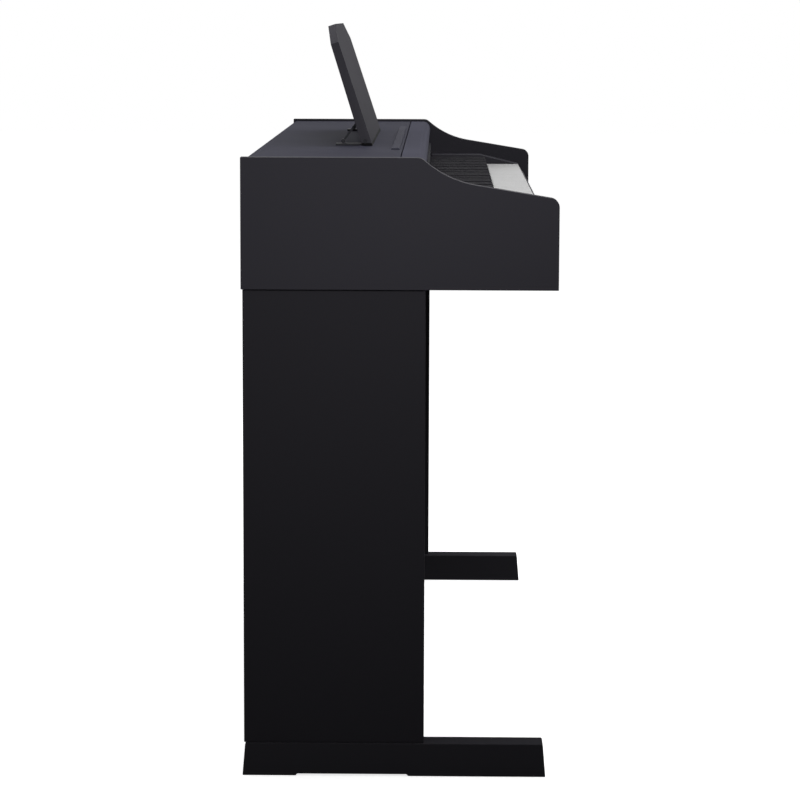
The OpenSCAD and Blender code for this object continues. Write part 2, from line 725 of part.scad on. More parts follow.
// Middle of a key where it passes between its neighbours
function key_x(k, o) = natural[k] >= 0
    ? let (i = natural[k], w = octave_start(o) + i)
        white_x(w) + (cut_left(w, i) + key_pitch - cut_right(w, i)) / 2
    : let (j = sharp_after[k]) white_x(octave_start(o) + j) + black_shift[j];

key_back = key_pivot_d - key_tail;
wide_back = black_front + key_gap;

module key_finish(x) {
    difference() {
        children();
        bar_x(x - key_pitch, x + key_pitch, key_pivot_d, key_pivot_z, key_rod_r + run_gap);
    }
    slab(x - nib_w / 2, x + nib_w / 2, nib_d - nib_half, nib_d + nib_half, nib_z, key_bottom);
}

module white_key(k, o) {
    i = natural[k];
    w = octave_start(o) + i;
    x0 = white_x(w);
    l = x0 + cut_left(w, i);
    r = x0 + key_pitch - cut_right(w, i);
    key_finish(key_x(k, o)) sweep_z(key_bottom, key_top, [
        [x0 + key_gap / 2, key_front], [x0 + key_gap / 2, wide_back], [l, wide_back], [l, tail_narrow_d],
        [l + tail_relief, tail_narrow_d], [l + tail_relief, key_back], [r - tail_relief, key_back],
        [r - tail_relief, tail_narrow_d], [r, tail_narrow_d], [r, wide_back],
        [x0 + key_pitch - key_gap / 2, wide_back], [x0 + key_pitch - key_gap / 2, key_front]]);
}

module black_key(k, o) {
    x = key_x(k, o);
    top = key_top + black_rise;
    b = black_w / 2;
    t = black_top_w / 2;
    key_finish(x) union() {
        intersection() {
            sweep_d(tail_narrow_d, black_front,
                [[x - b, key_bottom], [x + b, key_bottom], [x + b, key_top],
                    [x + t, top], [x - t, top], [x - b, key_top]]);
            sweep_x(x - b - 1, x + b + 1,
                [[tail_narrow_d, key_bottom], [tail_narrow_d, key_top], [tail_narrow_d + 3, top],
                [black_front - 5, top], [black_front, key_top - 1], [black_front, key_bottom]]);
        }
        slab(x - b + tail_relief / 2, x + b - tail_relief / 2, key_back, tail_narrow_d, key_bottom, key_top);
    }
}

module keys_of(k) for (o = octaves(k))
    if (natural[k] >= 0) color(ivory) white_key(k, o);
    else color(ebony) black_key(k, o);

// Hammers, heavier towards the bass
function weight_len(x) = weight_bass + (weight_treble - weight_bass) * (x + keys_w / 2) / keys_w;

module hammer(x) difference() {
    union() {
        sweep_x(x - hammer_w / 2, x + hammer_w / 2, [
            [hammer_arm_front, nib_z - seat_gap], [hammer_arm_front, nib_z - seat_gap - hammer_arm_t],
            [hammer_pivot_d, nib_z - seat_gap - hammer_arm_t],
            [hammer_pivot_d - hammer_hub_r, hammer_pivot_z - hammer_hub_r],
            [hammer_pivot_d - hammer_back + weight_len(x), weight_z + 4],
            [hammer_pivot_d - hammer_back + weight_len(x), weight_z],
            [hammer_pivot_d - hammer_back, weight_z], [hammer_pivot_d - hammer_back, weight_z + weight_h],
            [hammer_pivot_d - hammer_back + weight_len(x), weight_z + weight_h],
            [hammer_pivot_d, hammer_pivot_z],
            [hammer_pivot_d + hammer_hub_r, nib_z - seat_gap]]);
        bar_x(x - hammer_w / 2, x + hammer_w / 2, hammer_pivot_d, hammer_pivot_z, hammer_hub_r);
    }
    bar_x(x - hammer_w, x + hammer_w, hammer_pivot_d, hammer_pivot_z, hammer_rod_r + run_gap);
}

module hammers_of(k) color(steel) for (o = octaves(k)) hammer(key_x(k, o));

// Chassis of the key action, with a rib beside every C and at both ends
rib_marks = concat([0, white_count], [for (o = [1:8]) octave_start(o)]);
chassis_w = keys_w + rib_t;
plate_top = bed_top + chassis_t;
rest_bar_d = hammer_pivot_d - hammer_back + 5;

module rib(x) difference() {
    sweep_x(x - rib_t / 2, x + rib_t / 2, [
        [chassis_back, plate_top - 1], [chassis_back, key_pivot_z + key_rod_r + 3],
        [key_pivot_d + 8, key_pivot_z + key_rod_r + 3],
        [key_pivot_d + 8, plate_top + 9], [hammer_pivot_d - 8, plate_top + 9],
        [hammer_pivot_d - 7, hammer_pivot_z + hammer_rod_r + 3],
        [hammer_pivot_d + 7, hammer_pivot_z + hammer_rod_r + 3], [hammer_pivot_d + 8, plate_top - 1]]);
    bar_x(x - rib_t, x + rib_t, key_pivot_d, key_pivot_z, key_rod_r + run_gap);
    bar_x(x - rib_t, x + rib_t, hammer_pivot_d, hammer_pivot_z, hammer_rod_r + run_gap);
}

module key_chassis() color(steel) {
    slab(-chassis_w / 2, chassis_w / 2, chassis_back, chassis_front, bed_top, plate_top);
    slab(-chassis_w / 2, chassis_w / 2, rest_bar_d, rest_bar_d + 12, plate_top - 1, weight_z - seat_gap);
    sweep_x(-chassis_w / 2, chassis_w / 2, [
        [chassis_front, plate_top - 1], [chassis_front, rail_top], [chassis_front - rail_d, rail_top],
        [chassis_front - rail_d, rail_top - chassis_t], [chassis_front - chassis_t, rail_top - chassis_t],
        [chassis_front - chassis_t, plate_top - 1]]);
    for (w = rib_marks) rib(white_x(w));
}

module action_rods() color(steel) {
    bar_x(-chassis_w / 2, chassis_w / 2, key_pivot_d, key_pivot_z, key_rod_r);
    bar_x(-chassis_w / 2, chassis_w / 2, hammer_pivot_d, hammer_pivot_z, hammer_rod_r);
}

// Circuit boards: the main board, the key contacts under the hammers and the board behind the buttons
pcb_t = 1.6;
main_w = 280;
main_x0 = -150;
main_x1 = main_x0 + main_w;
contact_top = sensor_z + 7.5;
contact_half = 4;
switch_d = fascia_d - 18;
// The slider's own housing on the board behind the buttons
fader_half = 26;
fader_t = 4;
board_up = 8;

module circuit_boards() color(board_green) {
    slab(main_x0, main_x1, back_front + 12, chassis_back - 16,
        bed_top + board_up, bed_top + board_up + pcb_t);
    for (x = [main_x0 + 8, main_x1 - 8], d = [back_front + 18, chassis_back - 22])
        bar_z(x, d, bed_top, bed_top + board_up, 3);
    for (x = [main_x0 + 40, main_x0 + 62, main_x1 - 40])
        bar_z(x, back_front + 34, bed_top + board_up, bed_top + 32, 8);
    slab(main_x0 + 90, main_x0 + 122, back_front + 50, back_front + 82, bed_top + board_up, bed_top + 12);
    slab(-keys_w / 2 + 4, keys_w / 2 - 4, nib_d - 12, nib_d + 10, sensor_z, sensor_z + pcb_t);
    for (w = [1, 8, 15, 22, 29, 36, 43, 50])
        slab(white_x(w) - 4, white_x(w) + 4, nib_d - 10, nib_d + 8, plate_top, sensor_z);
    for (o = [1:7])
        slab(white_x(octave_start(o)) + 2, white_x(octave_start(o) + 7) - 2, nib_d - contact_half,
            nib_d + contact_half, sensor_z, contact_top);
    slab(power_window[0] - 16, slider_window[0] + 30, switch_d - pcb_t, switch_d,
        panel_foot + 1, panel_top - 2);
    slab(slider_window[0] - fader_half, slider_window[0] + fader_half, switch_d, switch_d + fader_t,
        window_z - fader_t, window_z + fader_t);
    for (x = [power_window[0] - 13, function_window[0] + 14])
        bar_d(x, switch_d, fascia_d - panel_t, window_z, 2.5);
}

// Speaker driver: a flange on the keybed, a cone over the hole and a magnet above it
module speakers() color(plastic) both_ends() translate([speaker_x, half_d - speaker_d, bed_top])
    rotate_extrude($fn = 64)
        polygon([
            [speaker_r - 3, 0], [speaker_r + speaker_rim, 0], [speaker_r + speaker_rim, 3],
            [speaker_r, 3], [24, 27], [26, 27], [26, 42], [0, 42], [0, 18], [10, 15], [14, 20]]);

// A shallow tray clipped into the back board's opening from the inside, with the sockets in its floor
jack_floor = back_inset + 4;
jack_rim = 6;
inlet_x = jack_x + 51;

module jack_block(over, d0, d1)
    slab(jack_x - jack_w / 2 - over, jack_x + jack_w / 2 + over, d0, d1,
        jack_z - jack_h / 2 - over, jack_z + jack_h / 2 + over);

module jack_panel() color(plastic) difference() {
    union() {
        difference() {
            union() {
                jack_block(-slip_gap, jack_floor, back_front + 1);
                jack_block(jack_rim, back_front, back_front + 2);
            }
            jack_block(-slip_gap - 2, jack_floor + jack_t, back_front + 3);
        }
        slab(inlet_x - 7, inlet_x + 7, jack_floor + 1, jack_floor + inlet_len + 2, jack_z - 7, jack_z + 7);
        slab(jack_x - 60, jack_x - 20, jack_floor + 1, back_front, jack_z - 12, jack_z + 12);
    }
    bar_d(inlet_x, jack_floor - 1, jack_floor + inlet_len, jack_z, inlet_r);
}

phones_z = bed_z - phones_box_h / 2;
module headphone_box() color(plastic) difference() {
    slab(phones_box_x, phones_box_x + phones_box_w, phones_box_back, phones_box_front,
        bed_z - phones_box_h, bed_z);
    for (x = [18, phones_box_w - 18])
        bar_d(phones_box_x + x, phones_box_front - phones_len, phones_box_front + 1, phones_z, phones_r);
}

// A push button: its cap in the window, and a flange and stem behind the panel
panel_back = fascia_d - panel_t - slip_gap;
cap_out = 1.8;
flange_over = 2;
flange_t = 3;
stem_half = 2;

module push_button(w) color(ivory) {
    slab(w[0] - w[1], w[0] + w[1], panel_back - 1, fascia_d + cap_out, window_z - w[2], window_z + w[2]);
    slab(w[0] - w[1] - flange_over, w[0] + w[1] + flange_over, panel_back - flange_t, panel_back,
        window_z - w[2] - flange_over, window_z + w[2] + flange_over);
    slab(w[0] - stem_half, w[0] + stem_half, switch_d + slip_gap + button_travel, panel_back - 1,
        window_z - stem_half, window_z + stem_half);
}
module power_button() push_button(power_window);
module function_button() push_button(function_window);

// The slider: a cap just clear of the panel's face, on a lever that runs in the slot
knob_half = 5;
knob_gap = 0.4;
knob_out = 6;
lever_half = 2;

module volume_slider() color(plastic) {
    slab(slider_window[0] - knob_half, slider_window[0] + knob_half, fascia_d + knob_gap,
        fascia_d + knob_out, window_z - knob_half, window_z + knob_half);
    slab(slider_window[0] - lever_half, slider_window[0] + lever_half, switch_d + fader_t + slip_gap,
        fascia_d + 1, window_z - slider_window[2] + button_gap, window_z + slider_window[2] - button_gap);
}

side_panel_left();
side_panel_right();
top_board();
back_board();
keybed();
key_slip();
control_panel();
cheek_blocks();
page_stop();
fasteners();
music_rest();
rest_brackets();
rest_stays();
key_cover();
cover_shaft();
cover_racks();
cover_shoes();
leg_left();
leg_right();
foot_left();
foot_right();
stand_back_board();
pedal_board();
pedal_left();
pedal_middle();
pedal_right();
pedal_adjuster();
key_chassis();
action_rods();
circuit_boards();
speakers();
jack_panel();
headphone_box();
power_button();
function_button();
volume_slider();
for (k = [0:11]) keys_of(k);
for (k = [0:11]) hammers_of(k);
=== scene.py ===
# %% [markdown]
# # A cabinet digital piano, dressed in cells
# The solids of the piano come ready made as a frame of named nodes, and the record names the
# body that each node moves with. The cells below add the camera, the light, the finishes and
# the finer pieces. All sizes are metres, X runs from the bass to the treble end, Y runs to the
# back and Z is up from the floor.

# %% Load the frame
import json
from math import atan2, cos, pi, radians, sin

import bpy
from mathutils import Matrix, Vector


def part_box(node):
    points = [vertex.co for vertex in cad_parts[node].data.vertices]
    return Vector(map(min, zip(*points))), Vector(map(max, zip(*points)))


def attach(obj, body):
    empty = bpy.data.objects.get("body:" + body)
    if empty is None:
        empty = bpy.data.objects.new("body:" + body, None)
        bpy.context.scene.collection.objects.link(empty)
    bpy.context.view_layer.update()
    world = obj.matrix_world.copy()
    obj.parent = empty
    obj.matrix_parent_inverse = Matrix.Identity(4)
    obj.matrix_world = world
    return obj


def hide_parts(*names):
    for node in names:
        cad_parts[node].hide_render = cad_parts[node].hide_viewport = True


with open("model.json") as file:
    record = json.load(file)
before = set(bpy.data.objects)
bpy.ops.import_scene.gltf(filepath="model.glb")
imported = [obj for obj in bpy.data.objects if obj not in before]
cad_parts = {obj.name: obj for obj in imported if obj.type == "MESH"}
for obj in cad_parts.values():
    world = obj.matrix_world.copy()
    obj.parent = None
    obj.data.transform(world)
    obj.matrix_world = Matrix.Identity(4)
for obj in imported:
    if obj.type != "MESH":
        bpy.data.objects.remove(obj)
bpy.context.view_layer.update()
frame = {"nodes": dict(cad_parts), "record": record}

NODES = frame["nodes"]
print("nodes in the frame:", len(NODES))

# %% [markdown]
# The photograph was taken from beside the bass end with a long lens. The place and the turn
# of the camera were found by fitting the piano's straight edges, so they are plain numbers:
# where the camera stands, how far it is turned from the X axis, how far it looks down and
# how far it is rolled.

# %% Camera at the photograph's angle
CAMERA_PLACE = Vector((-4.4139, -0.0528, 0.9954))
CAMERA_YAW = radians(0.797)
CAMERA_DOWN = radians(7.583)
CAMERA_ROLL = radians(-0.181)
PHOTO_PIXELS = 800
FOCAL_PIXELS = 2905.5
SENSOR_MM = 36.0
FARTHEST_SEEN = 60.0

forward = Vector((
    cos(CAMERA_DOWN) * cos(CAMERA_YAW),
    cos(CAMERA_DOWN) * sin(CAMERA_YAW),
    -sin(CAMERA_DOWN)))
level_right = Vector((sin(CAMERA_YAW), -cos(CAMERA_YAW), 0.0))
level_down = forward.cross(level_right)
right = level_right * cos(CAMERA_ROLL) + level_down * sin(CAMERA_ROLL)
down = level_down * cos(CAMERA_ROLL) - level_right * sin(CAMERA_ROLL)
camera_data = bpy.data.cameras.new("photo_camera")
camera_data.sensor_width = SENSOR_MM
camera_data.lens = FOCAL_PIXELS * SENSOR_MM / PHOTO_PIXELS
camera_data.clip_end = FARTHEST_SEEN
camera = bpy.data.objects.new("photo_camera", camera_data)
bpy.context.scene.collection.objects.link(camera)
camera.matrix_world = Matrix((
    (right.x, -down.x, -forward.x, CAMERA_PLACE.x),
    (right.y, -down.y, -forward.y, CAMERA_PLACE.y),
    (right.z, -down.z, -forward.z, CAMERA_PLACE.z),
    (0.0, 0.0, 0.0, 1.0)))
bpy.context.scene.camera = camera
bpy.context.scene.view_settings.view_transform = "Standard"
print("lens in mm:", round(camera_data.lens, 1))

# %% [markdown]
# Finishes are built from nodes. Two small helpers keep that short: one turns the hex colour
# that a painter would name into the linear light that the shader works with, and one adds a
# node with its settings and its links.

# %% Helpers for finishes
def linear(hex_colour):
    """An sRGB hex colour as linear red, green, blue and alpha, by the sRGB standard's own curve."""
    channels = [int(hex_colour[i:i + 2], 16) / 255.0 for i in (1, 3, 5)]
    return [c / 12.92 if c <= 0.04045 else ((c + 0.055) / 1.055) ** 2.4 for c in channels] + [1.0]


def add(tree, kind, settings=None, links=None):
    """Adds a node. Settings go to its attributes or inputs, links join other nodes' outputs to its inputs."""
    node = tree.nodes.new(kind)
    for key, value in (settings or {}).items():
        if isinstance(key, str) and hasattr(node, key):
            setattr(node, key, value)
        else:
            node.inputs[key].default_value = value
    for key, output in (links or {}).items():
        tree.links.new(output, node.inputs[key])
    return node


def new_finish(name):
    """An empty node material with its output, ready for a shader."""
    material = bpy.data.materials.new(name)
    material.use_nodes = True
    material.node_tree.nodes.clear()
    output = add(material.node_tree, "ShaderNodeOutputMaterial")
    return material, material.node_tree, output


# %% [markdown]
# The background of the photograph is plain white. The world therefore shows white to the
# camera and in reflections, while the light that falls on the piano stays at an ordinary
# level. A small weak lamp beside the bass end, aimed at the top of its panel, gives the fall
# of light down the leg, and large soft ones light the top, the back and the front.

# %% World and lamps
DOME_STRENGTH = 0.3
BACKDROP_STRENGTH = 1.0
KEY_SPREAD = radians(50.0)

world = bpy.data.worlds.new("white_studio")
world.use_nodes = True
bpy.context.scene.world = world
studio = world.node_tree
studio.nodes.clear()
ray = add(studio, "ShaderNodeLightPath")
seen = add(studio, "ShaderNodeMath", {"operation": "MAXIMUM"},
    {0: ray.outputs["Is Camera Ray"], 1: ray.outputs["Is Glossy Ray"]})
seen_through = add(studio, "ShaderNodeMath", {"operation": "MAXIMUM"},
    {0: seen.outputs[0], 1: ray.outputs["Is Transmission Ray"]})
dome = add(studio, "ShaderNodeBackground", {"Color": linear("#ffffff"), "Strength": DOME_STRENGTH})
backdrop = add(studio, "ShaderNodeBackground", {"Color": linear("#ffffff"), "Strength": BACKDROP_STRENGTH})
shown = add(studio, "ShaderNodeMixShader", None,
    {0: seen_through.outputs[0], 1: dome.outputs[0], 2: backdrop.outputs[0]})
add(studio, "ShaderNodeOutputWorld", None, {"Surface": shown.outputs[0]})


def soft_lamp(name, place, target, width, height, watts):
    """A rectangular soft lamp at a place, turned to a target."""
    lamp_data = bpy.data.lights.new(name, "AREA")
    lamp_data.shape = "RECTANGLE"
    lamp_data.size = width
    lamp_data.size_y = height
    lamp_data.energy = watts
    lamp = bpy.data.objects.new(name, lamp_data)
    bpy.context.scene.collection.objects.link(lamp)
    lamp.location = place
    lamp.rotation_euler = (Vector(target) - Vector(place)).to_track_quat("-Z", "Y").to_euler()
    return lamp


key_lamp = soft_lamp("key_lamp", place=(-2.3, -0.3, 1.45), target=(-0.69, 0.02, 0.90),
    width=0.6, height=0.4, watts=2.3)
key_lamp.data.spread = KEY_SPREAD
soft_lamp("top_lamp", place=(0.2, -0.6, 3.4), target=(0.0, 0.0, 0.8), width=2.6, height=2.0, watts=50.0)
soft_lamp("back_lamp", place=(1.5, 3.2, 2.4), target=(0.0, 0.0, 0.6), width=2.2, height=1.6, watts=45.0)
soft_lamp("front_lamp", place=(0.8, -3.4, 2.0), target=(0.0, 0.0, 0.6), width=2.2, height=1.6, watts=35.0)

# %% [markdown]
# The floor is a large pale sheet. To the camera it is as white as the backdrop except where
# the piano's shadow falls, so the piano stands on something and does not float.

# %% Floor
FLOOR_SIZE = 40.0
FLOOR_Z = -0.0005
FLOOR_GLOW = 0.775

bpy.ops.object.select_all(action="DESELECT")
bpy.ops.mesh.primitive_plane_add(size=FLOOR_SIZE, location=(0.0, 0.0, FLOOR_Z))
floor = bpy.context.object
floor.name = "studio_floor"
floor_paint, tree, output = new_finish("white_floor_paint")
floor_ray = add(tree, "ShaderNodeLightPath")
floor_diffuse = add(tree, "ShaderNodeBsdfDiffuse", {"Color": linear("#e6e6e6")})
floor_glow = add(tree, "ShaderNodeEmission", {"Color": linear("#ffffff"), "Strength": FLOOR_GLOW})
floor_seen = add(tree, "ShaderNodeAddShader", None,
    {0: floor_diffuse.outputs[0], 1: floor_glow.outputs[0]})
floor_dim = add(tree, "ShaderNodeBsdfDiffuse", {"Color": linear("#6e6e6e")})
floor_mix = add(tree, "ShaderNodeMixShader", None,
    {0: floor_ray.outputs["Is Camera Ray"], 1: floor_dim.outputs[0], 2: floor_seen.outputs[0]})
tree.links.new(floor_mix.outputs[0], output.inputs["Surface"])
floor.data.materials.append(floor_paint)
print("floor size in metres:", FLOOR_SIZE)

# %% [markdown]
# Satin lacquer: the boards of the case and the stand are particle board with a sprayed dark
# lacquer. Sprayed lacquer dries with a very fine orange peel and its sheen varies a little,
# so the finish has one small bump and a slow change of roughness.

# %% Satin lacquer
IOR = 1.5
BUMP_REACH = 0.0002
PEEL_STRENGTH = 0.06
CLOUD_SCALE = 3.0
SHEEN_CHANGE = 0.03
CLOUD_LOW = 0.3
CLOUD_HIGH = 0.7


def noise(tree, place, scale, detail):
    """A noise that is fixed to the piece itself."""
    return add(tree, "ShaderNodeTexNoise", {"Scale": scale, "Detail": detail},
        {"Vector": place.outputs["Object"]})


def grain_scale(size_mm):
    """The noise scale whose specks have about this size."""
    return 1000.0 / size_mm / 2.0


def changing_roughness(tree, cloud, roughness, change):
    """Roughness that goes a little up and down with a slow noise."""
    return add(tree, "ShaderNodeMapRange",
        {"From Min": CLOUD_LOW, "From Max": CLOUD_HIGH,
            "To Min": roughness - change, "To Max": roughness + change},
        {"Value": cloud.outputs["Fac"]})


def satin_lacquer(name, hex_colour, roughness, level, peel_mm=0.9):
    """Dark sprayed lacquer. level is how strongly it mirrors, peel_mm the size of its orange peel."""
    material, tree, output = new_finish(name)
    place = add(tree, "ShaderNodeTexCoord")
    sheen = changing_roughness(tree, noise(tree, place, CLOUD_SCALE, 3.0), roughness, SHEEN_CHANGE)
    peel = noise(tree, place, grain_scale(peel_mm), 1.0)
    bump = add(tree, "ShaderNodeBump", {"Strength": PEEL_STRENGTH, "Distance": BUMP_REACH},
        {"Height": peel.outputs["Fac"]})
    shader = add(tree, "ShaderNodeBsdfPrincipled",
        {"Base Color": linear(hex_colour), "IOR": IOR, "Specular IOR Level": level},
        {"Roughness": sheen.outputs[0], "Normal": bump.outputs[0]})
    tree.links.new(shader.outputs[0], output.inputs["Surface"])
    return material


CASE_LACQUER = satin_lacquer("satin_lacquer_case", "#2d2c31", 0.5, 0.03)
# The stand's lacquer is the case lacquer made darker: painted shade for the dimmer light on the legs.
SHADED_STAND_LACQUER = satin_lacquer("satin_lacquer_stand_painted_shade", "#252428", 0.5, 0.04)
FOOT_LACQUER = satin_lacquer("satin_lacquer_foot", "#2d2c30", 0.6, 0.002)
COVER_LACQUER = satin_lacquer("satin_lacquer_cover", "#373743", 0.6, 0.009)
TOP_LACQUER = satin_lacquer("satin_lacquer_top", "#2e2e38", 0.6, 0.009)
print("lacquers:", len([m for m in bpy.data.materials if m.name.startswith("satin_lacquer")]))

# %% [markdown]
# Moulded plastic: the panel behind the keys, the cheeks, the page stop and the music rest are
# ABS from a spark-eroded mould, which leaves a grain of fine pits. The pits are drawn as a
# small noise bump, a little coarser than the real one so that it still shows.

# %% Grained plastic
PIT_STRENGTH = 0.25


def grained_plastic(name, hex_colour, roughness, grain_mm=0.7, level=0.1):
    """Moulded plastic with a fine pitted grain."""
    material, tree, output = new_finish(name)
    place = add(tree, "ShaderNodeTexCoord")
    pits = noise(tree, place, grain_scale(grain_mm), 2.0)
    bump = add(tree, "ShaderNodeBump", {"Strength": PIT_STRENGTH, "Distance": BUMP_REACH},
        {"Height": pits.outputs["Fac"]})
    shader = add(tree, "ShaderNodeBsdfPrincipled",
        {"Base Color": linear(hex_colour), "IOR": IOR, "Specular IOR Level": level, "Roughness": roughness},
        {"Normal": bump.outputs[0]})
    tree.links.new(shader.outputs[0], output.inputs["Surface"])
    return material


PANEL_PLASTIC = grained_plastic("moulded_abs_panel", "#232327", 0.6, level=0.01)
CHEEK_PLASTIC = grained_plastic("moulded_abs_cheek", "#2a292e", 0.45, 1.2, level=0.05)
STOP_PLASTIC = grained_plastic("matt_abs_page_stop", "#393942", 0.6, level=0.009)
BOX_PLASTIC = grained_plastic("moulded_abs_socket_box", "#29292c", 0.5, level=0.1)
REST_PLASTIC = grained_plastic("moulded_abs_rest", "#343338", 0.6, level=0.015)
GEAR_PLASTIC = grained_plastic("acetal_gear", "#232325", 0.4)
BUTTON_PLASTIC = grained_plastic("moulded_abs_button", "#55555a", 0.45)
EBONY_PLASTIC = grained_plastic("matt_black_key", "#232226", 0.55, level=0.02)
print("grained plastics:", len([m for m in bpy.data.materials if m.name.startswith("moulded_abs")]))

# %% [markdown]
# The other finishes are smooth: the acrylic tops of the white keys, brass, plated and painted
# steel, laminate, paper and rubber. Only their roughness changes slowly over the surface, as
# it does on parts that have been handled. Each node then gets the finish of its material
# slot, apart from the few that have one of their own.

# %% Key tops, metals and board
def plain_gloss(name, hex_colour, roughness, level=0.5, metallic=0.0, mottle=0.03, scale=12.0):
    """A smooth finish whose roughness changes slowly over the surface."""
    material, tree, output = new_finish(name)
    place = add(tree, "ShaderNodeTexCoord")
    sheen = changing_roughness(tree, noise(tree, place, scale, 2.0), roughness, mottle)
    settings = {"Base Color": linear(hex_colour), "Metallic": metallic}
    if metallic == 0.0:
        settings["Specular IOR Level"] = level
    shader = add(tree, "ShaderNodeBsdfPrincipled", settings, {"Roughness": sheen.outputs[0]})
    tree.links.new(shader.outputs[0], output.inputs["Surface"])
    return material


IVORY_PLASTIC = plain_gloss("white_key_acrylic", "#ababab", 0.3, level=0.04)
PEDAL_BRASS = plain_gloss("lacquered_brass", "#e0bd76", 0.42, metallic=1.0)
PLATED_STEEL = plain_gloss("zinc_plated_steel", "#b4b6ba", 0.35, metallic=1.0)
DULL_STEEL = plain_gloss("dull_steel_weight", "#6f6f73", 0.5, metallic=1.0)
BOARD_LAMINATE = plain_gloss("circuit_laminate", "#1f5a3c", 0.4)
PAINTED_STEEL = plain_gloss("black_painted_bracket", "#29292d", 0.5, level=0.06)
SPEAKER_PAPER = plain_gloss("coated_speaker_paper", "#222224", 0.75, level=0.15)
SPEAKER_RUBBER = plain_gloss("rolled_speaker_rubber", "#161617", 0.5, level=0.3)
# Near-black finish for the foot of the music desk: the rubber strip together with painted shade in the gap
# below it.
RUBBER_AND_PAINTED_SHADE = plain_gloss("black_rubber_and_painted_shade", "#0d0d0e", 0.7, level=0.05)
LAMP_LENS = plain_gloss("red_lamp_lens", "#7a1512", 0.12, level=0.5)

FINISH = {
    "case_lacquer": CASE_LACQUER, "top_lacquer": TOP_LACQUER, "panel_plastic": PANEL_PLASTIC,
    "rest_plastic": REST_PLASTIC, "gear_plastic": GEAR_PLASTIC, "button_plastic": BUTTON_PLASTIC,
    "key_white": IVORY_PLASTIC, "key_black": EBONY_PLASTIC, "pedal_brass": PEDAL_BRASS,
    "plated_steel": PLATED_STEEL, "hammer_steel": DULL_STEEL, "speaker_steel": SPEAKER_PAPER,
    "board_laminate": BOARD_LAMINATE}
SLOT_OF = {part["node"]: part["material_slot"] for part in frame["record"]["subparts"]}
STAND_NODES = ("leg_", "foot_", "stand_back", "pedal_board")
OWN_FINISH = {
    "foot_left": FOOT_LACQUER, "foot_right": FOOT_LACQUER, "key_cover": COVER_LACQUER,
    "cheek_blocks": CHEEK_PLASTIC, "page_stop": STOP_PLASTIC, "rest_brackets": PAINTED_STEEL,
    "rest_stays": PAINTED_STEEL, "jack_panel": BOX_PLASTIC, "headphone_box": BOX_PLASTIC}
for name, node in NODES.items():
    node.data.materials.clear()
    # Stand nodes take the darker stand lacquer, whose extra darkness is painted shade.
    usual = SHADED_STAND_LACQUER if name.startswith(STAND_NODES) else FINISH[SLOT_OF[name]]
    node.data.materials.append(OWN_FINISH.get(name, usual))
print("finishes by slot:", len(FINISH), "and by node:", len(OWN_FINISH))

# %% [markdown]
# Real boards and mouldings have no knife edges. The eased copy of a node joins its loose
# triangles, melts the flat ones together and rounds what is left of the edges with a bevel,
# so that each edge catches a line of light as it does in the photograph.

# %% Helper for eased boards
MERGE_REACH = 0.00001
FLAT_ANGLE = radians(0.5)
SMOOTH_ANGLE = radians(35.0)


def body_of(node):
    """The name of the body that a node rides on."""
    for body, members in frame["record"]["behaviour"]["bodies"].items():
        if node in members:
            return body


def level_shading(piece):
    """Smooth shading on the rounded edges only: the large faces keep their own direction."""
    bpy.ops.object.shade_smooth_by_angle(angle=SMOOTH_ANGLE)
    level = piece.modifiers.new("level", "WEIGHTED_NORMAL")
    level.keep_sharp = True
    bpy.ops.object.modifier_apply(modifier="level")


def eased(node, name, ease_mm, steps=2, sharp=30.0):
    """A copy of a node with its edges rounded, which stands in its place. sharp is in degrees."""
    piece = bpy.data.objects.new(name, NODES[node].data.copy())
    bpy.context.scene.collection.objects.link(piece)
    bpy.ops.object.select_all(action="DESELECT")
    piece.select_set(True)
    bpy.context.view_layer.objects.active = piece
    bpy.ops.object.mode_set(mode="EDIT")
    bpy.ops.mesh.select_all(action="SELECT")
    bpy.ops.mesh.remove_doubles(threshold=MERGE_REACH)
    bpy.ops.mesh.dissolve_limited(angle_limit=FLAT_ANGLE)
    bpy.ops.object.mode_set(mode="OBJECT")
    bevel = piece.modifiers.new("ease", "BEVEL")
    bevel.width = ease_mm / 1000.0
    bevel.segments = steps
    bevel.limit_method = "ANGLE"
    bevel.angle_limit = radians(sharp)
    bpy.ops.object.modifier_apply(modifier="ease")
    level_shading(piece)
    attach(piece, body_of(node))
    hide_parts(node)
    return piece


# %% [markdown]
# The table gives each board or moulding, the name of its finished piece and how far its edges
# are rounded in millimetres. Thin sheet and close-fitting parts take less than thick boards.

# %% Eased boards and mouldings
EASED = (
    ("side_panel_left", "bass_side_panel", 0.5), ("side_panel_right", "treble_side_panel", 0.5),
    ("top_board", "top_lid_board", 0.8), ("back_board", "rear_board", 0.5),
    ("keybed", "key_bed_board", 0.8), ("key_slip", "front_key_slip", 0.8),
    ("control_panel", "fascia_moulding", 0.5), ("cheek_blocks", "cheek_mouldings", 1.0),
    ("page_stop", "page_stop_strip", 0.4), ("music_rest", "music_desk", 1.5),
    ("key_cover", "sliding_lid", 0.8), ("leg_left", "bass_leg", 0.8), ("leg_right", "treble_leg", 0.8),
    ("foot_left", "bass_foot", 0.8), ("foot_right", "treble_foot", 0.8),
    ("stand_back_board", "stand_board", 0.8), ("pedal_board", "pedal_rail", 0.8),
    ("rest_brackets", "hinge_brackets", 0.4), ("rest_stays", "folding_stays", 0.5),
    ("jack_panel", "socket_tray", 0.5), ("headphone_box", "phones_housing", 1.0),
    ("power_button", "power_cap", 0.7), ("function_button", "function_cap", 0.7),
    ("pedal_left", "left_pedal", 1.0), ("pedal_middle", "middle_pedal", 1.0),
    ("pedal_right", "right_pedal", 1.0))
for node, name, ease_mm in EASED:
    made = eased(node, name, ease_mm)
    print(name, "triangles:", sum(len(p.vertices) - 2 for p in made.data.polygons))

# %% [markdown]
# A dark seam shows between the top board and the moulding in front of it, and the board
# reaches almost to the back edge of the side panels. Its front face is drawn back a little
# and its rear face is drawn out.

